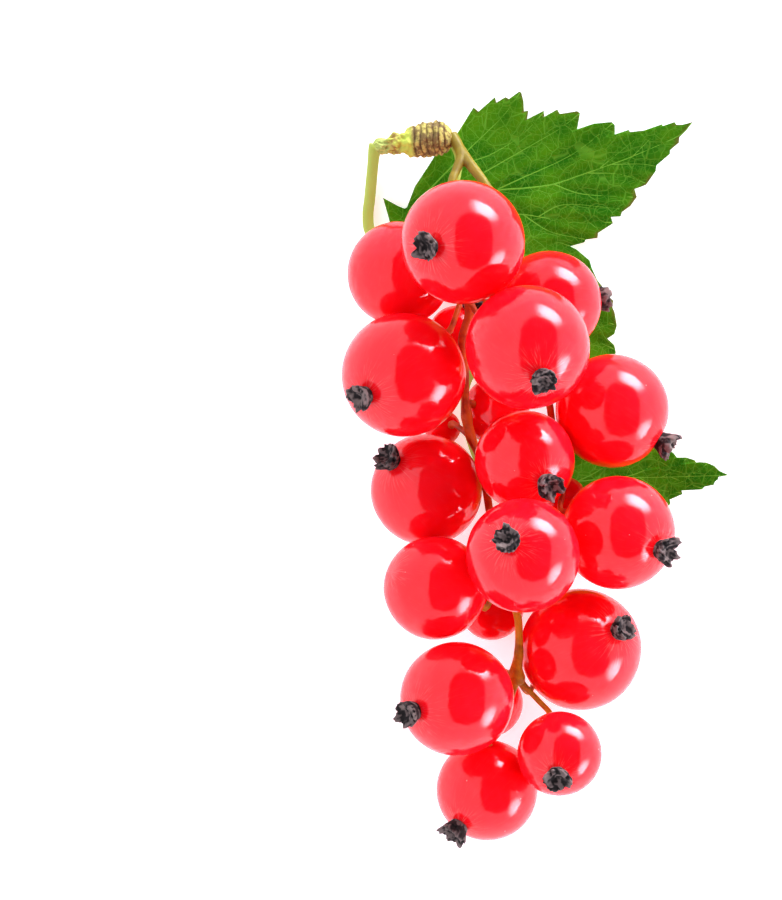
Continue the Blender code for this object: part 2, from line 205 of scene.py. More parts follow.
def ranged(tree, value, low, high, to_low=0.0, to_high=1.0):
    """The value's place between low and high, eased, as a number between to_low and to_high."""
    return add_node(
        tree, "MapRange", value, low, high, to_low, to_high, interpolation_type="SMOOTHSTEP"
    ).outputs[0]


def speckle(tree, place, scale, detail=2.0, roughness=0.5):
    """Soft noise around 0.5."""
    node = add_node(tree, "TexNoise", place)
    node.inputs["Scale"].default_value = scale
    node.inputs["Detail"].default_value = detail
    node.inputs["Roughness"].default_value = roughness
    return node.outputs["Fac"]


def cell_walls(tree, place, scale):
    """The distance from the walls of a net of cells, 0 on a wall."""
    node = add_node(tree, "TexVoronoi", place, feature="DISTANCE_TO_EDGE")
    node.inputs["Scale"].default_value = scale
    return node.outputs["Distance"]


def new_material(name, roughness, ior=1.45):
    """A material with its shader, and the object's own coordinates."""
    material = bpy.data.materials.new(name)
    material.use_nodes = True
    tree = material.node_tree
    shader = tree.nodes["Principled BSDF"]
    shader.inputs["Roughness"].default_value = roughness
    shader.inputs["IOR"].default_value = ior
    place = add_node(tree, "TexCoord").outputs["Object"]
    return material, tree, shader, place


def relief(tree, shader, height, depth_mm, strength):
    """Fine relief on the surface, as deep as depth_mm where height runs from 0 to 1."""
    bump = add_node(tree, "Bump")
    bump.inputs["Strength"].default_value = strength
    bump.inputs["Distance"].default_value = depth_mm * MM
    feed(tree, bump.inputs["Height"], height)
    feed(tree, shader.inputs["Normal"], bump.outputs["Normal"])


# %% [markdown]
# ## The camera
# The camera looks straight down, so the sheet of the bunch is seen as it was laid. A long lens keeps the
# upper berries from looking larger than the lower ones. Its distance and lens are worked out from how much
# of the table the picture should show.

# %% Camera
SHOWN_HIGH_MM = 79.83  # what the picture's height spans
LOOK_AT_DRAWN = np.array([-12.95, 1.42, 8.0])  # middle of the picture, at the height of most berries
CAMERA_ABOVE_MM = 1500.0
SENSOR_MM = 36.0
SEEN_TO_METRES = 10.0

camera_data = bpy.data.cameras.new("camera_above")
camera_data.sensor_width = SENSOR_MM
camera_data.lens = SENSOR_MM * CAMERA_ABOVE_MM / SHOWN_HIGH_MM
camera_data.clip_end = SEEN_TO_METRES
camera = bpy.data.objects.new("camera_above", camera_data)
bpy.context.scene.collection.objects.link(camera)
look_at = LOOK_AT_DRAWN + MOVED
camera.location = Vector((look_at[0], look_at[1], look_at[2] + CAMERA_ABOVE_MM)) * MM
bpy.context.scene.camera = camera
print("lens", round(camera_data.lens), "mm, camera", camera.location)

# %% [markdown]
# ## The light
# The berries are lit in a white tent, open at the top where the camera looks in. A berry is a small round
# mirror: straight up it shows that dark opening, and all round it shows the pale tent, which makes its red
# pinker. The tent is drawn by what a ball seen from above would show, so each direction is first turned
# into the place on the ball that mirrors it: x and y divided by the root of 2(1 + z).

# %% Tent
world = bpy.data.worlds.new("white_tent")
bpy.context.scene.world = world
world.use_nodes = True
tent = world.node_tree
ways = add_node(tent, "TexCoord").outputs["Generated"]
wobble = add_node(tent, "TexNoise", ways)
wobble.inputs["Scale"].default_value = 3.1
wobble.inputs["Detail"].default_value = 2.0
wavy = add_node(tent, "VectorMath", wobble.outputs["Color"], (0.5, 0.5, 0.5), operation="SUBTRACT").outputs[0]
wavy = add_node(tent, "VectorMath", wavy, (0.24, 0.24, 0.0), operation="MULTIPLY").outputs[0]
bent = add_node(tent, "VectorMath", ways, wavy, operation="ADD").outputs[0]
split = add_node(tent, "SeparateXYZ", bent)
stretch = maths(tent, "SQRT", maths(tent, "MULTIPLY_ADD", split.outputs[2], 2.0, 2.02))
OPENING_MIDDLE, OPENING_HALF = (0.165, 0.005), (0.30, 0.455)
OPENING_SQUARENESS = 3.0
reach = []
for axis in range(2):
    mirrored = maths(tent, "DIVIDE", split.outputs[axis], stretch)
    offset = maths(tent, "SUBTRACT", mirrored, OPENING_MIDDLE[axis])
    share = maths(tent, "ABSOLUTE", maths(tent, "DIVIDE", offset, OPENING_HALF[axis]))
    reach.append(maths(tent, "POWER", share, OPENING_SQUARENESS))
outside = ranged(tent, maths(tent, "ADD", reach[0], reach[1]), 0.85, 1.2)
folds = add_node(tent, "TexNoise", ways)
folds.inputs["Scale"].default_value = 1.6
cloth = maths(tent, "MULTIPLY_ADD", folds.outputs["Fac"], 0.8, 1.40)
background = tent.nodes["Background"]
shade = blend_colours(tent, outside, (0.03, 0.03, 0.04), (0.95, 0.99, 1.16))
feed(tent, background.inputs["Color"], shade)


GLOW_SHARPNESS = 3.6


def glow(turn, rise, spread, brightness):
    """A soft bright place on the tent, where a lamp stands behind its cloth.

    It fades to nothing `spread` degrees from its middle, as the power of an eased cosine.
    """
    turn, rise = math.radians(turn), math.radians(rise)
    way = (math.cos(rise) * math.cos(turn), math.cos(rise) * math.sin(turn), math.sin(rise))
    across = add_node(tent, "VectorMath", ways, way, operation="DOT_PRODUCT").outputs["Value"]
    near = ranged(tent, across, math.cos(math.radians(spread)), 1.0)
    return maths(tent, "MULTIPLY", maths(tent, "POWER", near, GLOW_SHARPNESS), brightness)


main_glow = glow(turn=56, rise=10, spread=34, brightness=27.0)
side_glow = glow(turn=330, rise=7, spread=28, brightness=17.0)
lamps = maths(tent, "ADD", main_glow, side_glow)
feed(tent, background.inputs["Strength"], maths(tent, "ADD", cloth, lamps))
print("tent done")

# %% [markdown]
# ## The table
# The sprig lies on a sheet that is lit from below, so the sheet stays white close round the berries and
# their shadows are faint. A large plane just under the sprig does that, with a little light of its own.

# %% Light table
TABLE_SIDE_METRES = 4.0
TABLE_BELOW_MM = 0.05
TABLE_GLOW = 0.5
table_material, table_tree, table_shader, table_place = new_material("pale_table", 0.7)
table_grain = speckle(table_tree, table_place, 60.0)
table_white = blend_colours(table_tree, table_grain, (0.90, 0.90, 0.90), (0.93, 0.93, 0.93))
feed(table_tree, table_shader.inputs["Base Color"], table_white)
table_shader.inputs["Emission Color"].default_value = (1.0, 1.0, 1.0, 1.0)
table_shader.inputs["Emission Strength"].default_value = TABLE_GLOW
bpy.ops.mesh.primitive_plane_add(size=TABLE_SIDE_METRES, location=(0.0, 0.0, -TABLE_BELOW_MM * MM))
table = bpy.context.object
table.name = "table"
table.data.materials.append(table_material)
print("table done")

# %% [markdown]
# ## The berries
# A redcurrant is a ball with a tight, glossy skin full of red juice. It isn't quite round: it is a little
# uneven, and it pulls in where its stalk and its withered flower join. Pale veins run from the one to the
# other under the skin, and show best round the flower. A ball worked out from two angles, with those two
# dents, holds all of that, and its angles carry the veins' pattern.

# %% Berry material
berry_material, tree, shader, place = new_material("berry_skin", 0.10, 1.40)
grain = mark(tree, "grain", vector=True)
round_flower = ranged(tree, mark(tree, "from_flower"), 0.25, 0.70, 1.0, 0.06)
rays = ranged(tree, speckle(tree, grain, 9.0, 3.0, 0.65), 0.53, 0.66)
veins = maths(tree, "MULTIPLY", maths(tree, "MULTIPLY", rays, round_flower), 0.5)
pulp = ranged(tree, speckle(tree, place, 260.0, 2.0), 0.40, 0.72)
red = blend_colours(tree, pulp, (0.97, 0.004, 0.012), (0.90, 0.0025, 0.009))
red = blend_colours(tree, veins, red, (0.98, 0.16, 0.14))
dust_cells = add_node(tree, "TexVoronoi", place)
dust_cells.inputs["Scale"].default_value = 520.0
dust = maths(tree, "LESS_THAN", dust_cells.outputs["Distance"], 0.032)
red = blend_colours(tree, maths(tree, "MULTIPLY", dust, 0.5), red, (0.95, 0.45, 0.40))
feed(tree, shader.inputs["Base Color"], red)
shader.inputs["Subsurface Weight"].default_value = 0.85
shader.inputs["Subsurface Radius"].default_value = (1.0, 0.12, 0.10)
shader.inputs["Subsurface Scale"].default_value = 3.0 * MM
relief(tree, shader, speckle(tree, place, 900.0, 2.0), 0.02, 0.25)


# %% Berry skins
def berry_skin(centre, radius, flower_way, seed, along=64, around=96):
    """A ball round the flower's axis, from a turn u and an angle t measured from the flower.

    Its radius is multiplied by 1, plus small waves, less a dent at each end that fades as
    exp(-(angle / w)^2).
    """
    t = np.linspace(0.0, np.pi, along + 2)[1:-1, None]
    u = np.linspace(0.0, 2 * np.pi, around, endpoint=False)[None, :]
    ball = np.stack([np.sin(t) * np.cos(u), np.sin(t) * np.sin(u), np.cos(t) + 0 * u], axis=-1)
    dent = 0.035 * np.exp(-((t / 0.22) ** 2)) + 0.04 * np.exp(-(((np.pi - t) / 0.2) ** 2))
    size = 1.0 + 0.004 * uneven(ball, 1.1, seed) - dent
    turned = axes_along(flower_way)
    rings = centre + radius * (ball * size[..., None]) @ turned
    ends = centre + radius * np.array([[0.965], [-0.96]]) * turned[2]
    grain = np.stack([2 * np.cos(u) + 0 * t, 2 * np.sin(u) + 0 * t, 0.35 * t + 0 * u], axis=-1) + 5.3 * seed
    return closed_skin(rings, ends[0], ends[1], grain=grain, from_flower=t + 0 * u)


BARE_BERRY_WAY = (-0.88, 0.32, 0.34)
FLOWER_WAYS = {}
for number, name in enumerate(BERRY_NAMES, 1):
    flower = name.replace("berry", "calyx")
    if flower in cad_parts:
        way = box_middle(flower) - CENTRES[name]
        FLOWER_WAYS[name] = way / np.linalg.norm(way)
    else:  # a berry that has lost its flower
        FLOWER_WAYS[name] = np.array(BARE_BERRY_WAY)
    skin = berry_skin(CENTRES[name], RADII[name], FLOWER_WAYS[name], number)
    finish_piece(f"ripe_{name}", mesh_of(name, [skin]), berry_material, "berry_red", name)
print("berries done:", len(FLOWER_WAYS))

# %% [markdown]
# ## The withered flowers
# Each berry keeps its dead flower at the far end: a short neck that opens into five shrivelled lobes, dry
# and nearly black. It is one closed skin that runs up the outside of the cup, over the rim and down the
# inside. The rim's height and width change with the angle, which makes the lobes, and waves across it make
# the wrinkles.

# %% Withered flower material
flower_material, tree, shader, place = new_material("withered_flower", 0.85)
shader.inputs["Specular IOR Level"].default_value = 0.25
crumple = speckle(tree, place, 1500.0, 4.0, 0.65)
# lighter brown where the ridges and wrinkles stand up
raised = maths(tree, "ADD", maths(tree, "MULTIPLY", mark(tree, "ridge"), 0.35), crumple)
brown = blend_colours(tree, ranged(tree, raised, 0.42, 0.78), (0.014, 0.0095, 0.0085), (0.145, 0.102, 0.090))
pale_spots = ranged(tree, speckle(tree, place, 700.0), 0.60, 0.72)
brown = blend_colours(tree, pale_spots, brown, (0.19, 0.135, 0.115))
feed(tree, shader.inputs["Base Color"], brown)
relief(tree, shader, crumple, 0.12, 0.9)


# %% Withered flower skins
def flower_skin(foot, way, length, width, seed, along=46, around=90):
    """A cup turned round its axis, with lobes and wrinkles.

    Radius and height follow a profile up the outside and down the inside. Both grow with
    |cos(2.5 u)|^0.6, which has five lobes, and the rim leans over to one side.
    """
    rng = np.random.default_rng(seed)
    start, lean_turn = rng.uniform(0, 2 * np.pi, 2)
    u = np.linspace(0.0, 2 * np.pi, around, endpoint=False)[None, :]
    t = np.linspace(0.0, 1.0, along)[:, None]
    profile_t = [0.0, 0.10, 0.24, 0.40, 0.54, 0.64, 0.76, 0.88, 1.0]
    profile_radius = [0.45, 0.68, 0.74, 0.93, 1.00, 0.90, 0.66, 0.38, 0.10]
    profile_height = [-0.06, 0.05, 0.28, 0.56, 0.80, 0.98, 0.98, 0.80, 0.62]
    rim = np.exp(-(((t - 0.58) / 0.22) ** 2))
    around_ring = np.concatenate([np.cos(u), np.sin(u), 0 * u]).T[None]
    lobes = np.abs(np.cos(2.5 * (u - start))) ** 0.6
    uneven_u = uneven(around_ring, 1.3, seed + 70)
    wide = np.interp(t, profile_t, profile_radius) * width
    rise = np.interp(t, profile_t, profile_height) * length
    smooth = np.stack([wide * np.cos(u), wide * np.sin(u), rise + 0 * u], axis=-1)
    uneven_fine = 0.7 * uneven(smooth, 0.75, seed + 90) + 0.45 * uneven(smooth, 0.33, seed + 91)
    radius = wide * (
        1.0 + rim * (0.10 * (lobes - 0.6) + 0.10 * uneven_u) + 0.09 * uneven_fine * (0.4 + rim)
    )
    height = rise * (
        1.0 + rim * (0.18 * (lobes - 0.55) + 0.14 * uneven_u) + 0.14 * uneven_fine * (0.3 + rim)
    )
    lean = 0.20 * rim * np.cos(u - lean_turn) + 0.05 * rim
    radius = radius * (1.0 - 0.4 * lean)
    shape = np.stack([radius * np.cos(u), radius * np.sin(u), height + lean * 0.5], axis=-1)
    turned = axes_along(way)
    rings = foot + shape @ turned
    ends = foot + np.array([[-0.1], [0.58 * length]]) * turned[2]
    return closed_skin(rings, ends[0], ends[1], ridge=uneven_fine + 0 * t)


FLOWER_LENGTH, FLOWER_WIDTH = 1.35, 1.2
SMALL_FLOWERS = {
    "berry_03": 0.9, "berry_16": 0.8, "berry_17": 0.8, "berry_18": 0.8, "berry_19": 0.75, "berry_20": 0.8,
}
FLOWER_FOOT = 0.955  # share of the berry's radius at which the flower's neck starts, inside its dent
for number, name in enumerate(BERRY_NAMES, 1):
    flower = name.replace("berry", "calyx")
    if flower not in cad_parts:
        continue
    size = SMALL_FLOWERS.get(name, 1.0)
    foot = CENTRES[name] + FLOWER_FOOT * RADII[name] * FLOWER_WAYS[name]
    skin = flower_skin(foot, FLOWER_WAYS[name], FLOWER_LENGTH * size, FLOWER_WIDTH * size, number)
    finish_piece(f"withered_{flower}", mesh_of(flower, [skin]), flower_material, "dry_flower", flower)
print("withered flowers done")

# %% [markdown]
# ## The stalks
# The strig is one growth: a stalk that forks below the spur, with a thin stalk to every berry. Each stretch
# is a circle carried along a smooth route, thicker at its joints. Laid over each other these tubes would
# show sharp creases where they meet, so they are melted into one skin by a voxel remesh, and smoothed.


# %% Routes
def smooth_route(points, step):
    """Points about `step` apart on a Catmull-Rom curve through the given points."""
    points = np.array(points, float)
    padded = np.vstack([2 * points[0] - points[1], points, 2 * points[-1] - points[-2]])
    route = []
    for before, start, end, after in zip(padded, padded[1:], padded[2:], padded[3:]):
        count = max(1, round(float(np.linalg.norm(end - start)) / step))
        share = np.arange(count)[:, None] / count
        route.append(
            0.5 * (2 * start + (end - before) * share + (2 * before - 5 * start + 4 * end - after) * share**2
                   + (3 * start - before - 3 * end + after) * share**3)
        )
    return np.vstack([*route, points[-1:]])


def lengths_along(route):
    """The distance travelled at each point of a route."""
    return np.concatenate([[0.0], np.cumsum(np.linalg.norm(np.diff(route, axis=0), axis=1))])


def point_along(route, share):
    """The point at `share` of the route's length."""
    travelled = lengths_along(route)
    return np.array([np.interp(share * travelled[-1], travelled, route[:, axis]) for axis in range(3)])


def tube_skin(route, radii, around=14, flat=1.0, **marks):
    """A circle carried along a route: each ring lies across the route's direction there.

    `flat` squeezes the circle across the table, and `marks` are single values for the whole tube.
    """
    ways = np.gradient(route, axis=0)
    ways /= np.linalg.norm(ways, axis=1, keepdims=True)
    helper = np.eye(3)[np.argmin(np.abs(ways).max(axis=0))]
    side = np.cross(ways, helper)
    side /= np.linalg.norm(side, axis=1, keepdims=True)
    up = np.cross(side, ways)
    u = np.linspace(0.0, 2 * np.pi, around, endpoint=False)[None, :, None]
    wide = np.asarray(radii)[:, None, None]
    rings = route[:, None] + wide * (np.cos(u) * side[:, None] + flat * np.sin(u) * up[:, None])
    filled = {name: np.full(rings.shape[:2], value) for name, value in marks.items()}
    return closed_skin(rings, route[0], route[-1], **filled)


LEFT_ARM = (
    (-7.55, 29.5, 2.5), (-6.95, 28.4, 3.1), (-6.7, 27.5, 4.0), (-7.15, 26.3, 4.8), (-7.55, 25.0, 5.5),
    (-7.5, 22.2, 5.9), (-7.0, 19.2, 6.1), (-6.3, 16.0, 6.3), (-6.0, 13.7, 6.5), (-6.6, 11.5, 6.6),
    (-6.6, 9.8, 6.5), (-6.4, 7.3, 6.4), (-6.3, 5.0, 6.1), (-5.9, 2.7, 5.4), (-5.0, 0.6, 4.0),
    (-4.6, -1.4, 3.0), (-4.1, -4.6, 3.2), (-3.7, -7.5, 4.4), (-2.7, -10.8, 6.0), (-1.75, -13.2, 7.2),
    (-1.6, -15.2, 7.8), (-1.65, -17.2, 7.8), (-1.8, -19.3, 7.2),
)
RIGHT_ARM = (
    (-6.75, 28.1, 3.4), (-5.9, 26.8, 4.5), (-4.6, 25.1, 5.5), (-3.5, 23.2, 6.2), (-2.8, 20.9, 6.5),
    (-3.2, 18.1, 6.2), (-4.1, 15.9, 5.8), (-4.4, 13.9, 5.4), (-3.9, 12.0, 4.8), (-2.7, 9.8, 4.1),
    (-0.6, 8.3, 3.8), (0.9, 6.3, 3.8), (1.4, 3.7, 3.5), (1.7, 1.3, 3.6), (1.6, -0.2, 4.4),
)
# Each berry's stalk: its arm, how far along that arm it leaves, and any points that it bends through.
STALKS = {
    "berry_01": ("right", 0.30, ()),
    "berry_02": ("left", 0.13, ()),
    "berry_03": ("right", 0.49, ()),
    "berry_04": ("left", 0.28, ()),
    "berry_05": ("left", 0.31, ((-4.4, 12.6, 8.8),)),
    "berry_06": ("right", 0.76, ()),
    "berry_07": ("left", 0.62, ()),
    "berry_08": ("left", 0.50, ()),
    "berry_09": ("right", 0.98, ((2.3, -1.9, 5.4),)),
    "berry_10": ("left", 0.76, ((-1.6, -9.9, 7.2),)),
    "berry_11": ("left", 0.79, ()),
    "berry_12": ("left", 0.99, ((-0.7, -20.1, 4.6),)),
    "berry_13": ("left", 0.95, ()),
    "berry_14": ("left", 0.99, ((0.2, -20.9, 6.4),)),
    "berry_15": ("left", 0.99, ((-2.4, -20.9, 7.0), (-3.2, -22.8, 6.6))),
    "berry_16": ("left", 0.81, ()),
    "berry_17": ("left", 0.99, ()),
    "berry_18": ("left", 0.51, ()),
    "berry_19": ("right", 0.96, ()),
    "berry_20": ("left", 0.43, ()),
    "berry_21": ("left", 0.54, ()),
}
# Where a stalk meets its berry when that isn't opposite the flower: degrees round from +X, and degrees
# above the table.
STALK_ENDS = {
    "berry_04": (45, -10), "berry_08": (170, -35), "berry_09": (158, -12), "berry_11": (340, -20),
    "berry_14": (104, -30), "berry_15": (88, 25), "berry_16": (20, 58), "berry_17": (70, 30),
    "berry_18": (165, 45), "berry_20": (300, 40), "berry_21": (15, 60),
}


def stalk_way(name):
    """Unit vector from a berry's centre to where its stalk joins."""
    if name not in STALK_ENDS:
        return -FLOWER_WAYS[name]
    turn, rise = np.radians(STALK_ENDS[name])
    return np.array([np.cos(rise) * np.cos(turn), np.cos(rise) * np.sin(turn), np.sin(rise)])


# %% Stalk tubes, melted into one skin
MELT_VOXEL_MM = 0.085
arms = {"left": smooth_route(LEFT_ARM, 0.3) + MOVED, "right": smooth_route(RIGHT_ARM, 0.3) + MOVED}
tubes = []
for arm, (thick, thin) in {"left": (0.52, 0.36), "right": (0.50, 0.33)}.items():
    travelled = lengths_along(arms[arm])
    radii = np.interp(travelled, [0.0, 2.2, 4.5, travelled[-1]], [thick, thick, 0.40, thin])
    for owner, share, _ in STALKS.values():
        if owner == arm:
            radii = radii + 0.10 * np.exp(-(((travelled - share * travelled[-1]) / 0.7) ** 2))
    tubes.append(tube_skin(arms[arm], radii))
for name, (arm, share, bends) in STALKS.items():
    way = stalk_way(name)
    joint = CENTRES[name] + 0.94 * RADII[name] * way
    before = CENTRES[name] + (RADII[name] + 0.6) * way
    middle = [np.array(bend) + MOVED for bend in bends]
    route = smooth_route([point_along(arms[arm], share), *middle, before, joint], 0.25)
    travelled = lengths_along(route)
    left = travelled[-1] - travelled
    radii = 0.27 + 0.12 * np.exp(-((travelled / 0.8) ** 2)) + 0.12 * np.exp(-((left / 0.55) ** 2))
    tubes.append(tube_skin(route, radii))
strig_mesh = mesh_of("stalk_tubes", tubes)
strig_source = bpy.data.objects.new("stalk_tubes", strig_mesh)
bpy.context.scene.collection.objects.link(strig_source)
melt = strig_source.modifiers.new("melt", "REMESH")
melt.mode = "VOXEL"
melt.voxel_size = MELT_VOXEL_MM * MM
ease = strig_source.modifiers.new("ease", "SMOOTH")
ease.factor = 0.5
ease.iterations = 6
graph = bpy.context.evaluated_depsgraph_get()
strig_skin = bpy.data.meshes.new_from_object(strig_source.evaluated_get(graph))
bpy.data.objects.remove(strig_source)
strig_skin.shade_smooth()
print("stalk triangles:", 2 * len(strig_skin.polygons))

# %% [markdown]
# The stalk is green-ochre where it leaves the spur. Among the berries it is painted orange-brown, a painted
# shade that stands in for the red-tinted shade of the berries round it. Its skin is smooth with faint darker
# flecks.

# %% Stalk material
stalk_material, tree, shader, place = new_material("stalk_skin", 0.42)
shader.inputs["Specular IOR Level"].default_value = 0.25
height_up = add_node(tree, "SeparateXYZ", place).outputs[1]
blotch = speckle(tree, place, 700.0, 3.0)
blotchy = ranged(tree, blotch, 0.38, 0.64)
golden = blend_colours(tree, blotchy, (0.25, 0.185, 0.014), (0.18, 0.12, 0.009))
# painted shade: this redder brown, used among the berries, stands in for the red-tinted shade they cast on
# the stalk
red_brown_painted_shade = blend_colours(tree, blotchy, (0.60, 0.10, 0.010), (0.36, 0.035, 0.006))
ochre = blend_colours(tree, blotchy, (0.62, 0.30, 0.015), (0.34, 0.14, 0.008))


def above(drawn_y, fade):
    """1 above a place in the drawing, 0 below it."""
    middle = drawn_y + MOVED[1]
    return ranged(tree, height_up, (middle - fade) * MM, (middle + fade) * MM)


skin_colour = blend_colours(tree, above(-8.0, 4.0), ochre, red_brown_painted_shade)
skin_colour = blend_colours(tree, above(19.0, 3.0), skin_colour, golden)
feed(tree, shader.inputs["Base Color"], skin_colour)
shader.inputs["Subsurface Weight"].default_value = 0.2
shader.inputs["Subsurface Radius"].default_value = (1.0, 0.5, 0.1)
shader.inputs["Subsurface Scale"].default_value = 0.4 * MM
relief(tree, shader, blotch, 0.06, 0.5)
finish_piece("strig_stalks", strig_skin, stalk_material, "stem_ochre", "strig")

# %% [markdown]
# ## The spur
# The short woody spur carries the bunch. Each year's growth left a ring scar round it, so its right half is
# a stack of ridges, dark in the grooves. Its left half is smoother, with papery bud scales, and ends in a
# pale knob where the upper leaf's stalk begins. It is a circle of changing radius carried along a straight
# axis.

# %% Spur skin and material
SPUR_LEFT = np.array([-14.6, 28.35, 2.1]) + MOVED
SPUR_RIGHT = np.array([-7.5, 29.35, 2.4]) + MOVED


def spur_skin(along=190, around=72):
    """A circle carried along the spur's axis, with ring scars, cracks and a rounded knob.

    The radius follows a profile, plus ridges that rise as a power of a sine, plus waves.
    """
    v = np.linspace(0.0, 1.0, along)[:, None]
    u = np.linspace(0.0, 2 * np.pi, around, endpoint=False)[None, :]
    axis = axes_along(SPUR_RIGHT - SPUR_LEFT)
    length = np.linalg.norm(SPUR_RIGHT - SPUR_LEFT)
    v_at = [0.0, 0.02, 0.06, 0.12, 0.18, 0.24, 0.32, 0.42, 0.50, 0.60, 0.72, 0.84, 0.92, 0.97, 1.0]
    wide = [0.10, 0.46, 0.68, 0.70, 0.62, 0.74, 0.86, 0.98, 1.30, 1.44, 1.50, 1.46, 1.28, 0.95, 0.60]
    base = np.interp(v, v_at, wide)
    where = np.stack([np.cos(u) + 0 * v, np.sin(u) + 0 * v, 6.5 * v + 0 * u], axis=-1)
    rough = uneven(where * [1.4, 1.4, 1.0], 0.9, 11)
    fine = uneven(where * [1.4, 1.4, 1.0], 0.28, 12)
    wavering = v + 0.016 * uneven(where * [1, 1, 0], 1.7, 13) + 0.006 * rough - 0.012 * np.sin(u)
    ringed = np.clip((v - 0.47) / 0.05, 0, 1) * np.clip((1.0 - v) / 0.06, 0, 1)
    ring = np.abs(np.sin(np.pi * (wavering - 0.47) / (0.085 - 0.02 * (v - 0.5)))) ** 0.7
    scales = np.clip((0.50 - v) / 0.05, 0, 1) * np.clip((v - 0.14) / 0.05, 0, 1)
    radius = base + 0.15 * (ring - 0.6) * ringed + 0.05 * rough + 0.045 * fine + 0.12 * rough * scales
    shape = np.stack([radius * np.cos(u), radius * np.sin(u), length * v + 0 * u], axis=-1)
    rings = SPUR_LEFT + shape @ axis
    return closed_skin(
        rings, SPUR_LEFT - 0.05 * axis[2], SPUR_RIGHT + 0.05 * axis[2], along=v + 0 * u,
        groove=(1.0 - ring) * ringed,
    )


spur_material, tree, shader, place = new_material("spur_bark", 0.8)
shader.inputs["Specular IOR Level"].default_value = 0.2
flecks = speckle(tree, place, 1700.0, 3.0, 0.6)
patches = speckle(tree, place, 600.0, 2.0)
along = mark(tree, "along")
rough_groove = maths(tree, "ADD", mark(tree, "groove"), maths(tree, "MULTIPLY", flecks, 0.5))
groove = ranged(tree, rough_groove, 0.45, 0.95)
tan = blend_colours(tree, ranged(tree, flecks, 0.42, 0.60), (0.17, 0.11, 0.035), (0.46, 0.37, 0.09))
ringed = blend_colours(tree, maths(tree, "MULTIPLY", groove, 0.65), tan, (0.07, 0.035, 0.016))
body = blend_colours(tree, ranged(tree, patches, 0.40, 0.62), (0.50, 0.56, 0.08), (0.46, 0.42, 0.09))
scaly = blend_colours(tree, ranged(tree, flecks, 0.46, 0.60), body, (0.32, 0.21, 0.05))
pale = blend_colours(tree, patches, (0.36, 0.42, 0.08), (0.44, 0.50, 0.14))
bark = blend_colours(tree, ranged(tree, along, 0.17, 0.22), pale, scaly)
bark = blend_colours(tree, ranged(tree, along, 0.30, 0.38), bark, body)
bark = blend_colours(tree, ranged(tree, along, 0.46, 0.54), bark, ringed)
feed(tree, shader.inputs["Base Color"], bark)
relief(tree, shader, flecks, 0.10, 0.8)
finish_piece("woody_spur", mesh_of("woody_spur", [spur_skin()]), spur_material, "spur_bark", "spur")

# %% [markdown]
# ## The leaves
# A currant leaf is a thin blade with a toothed edge. Its veins fan out from where its stalk joins, and the
# blade puffs up a little between them. The blade is a fan: each point is a share of the way from the base
# to the edge. Its height is a formula of its place on the table, so the blade, its veins and its stalk all
# fit each other. The main veins are thin tapered tubes laid along that surface. The finest net of veins is
# in the material.

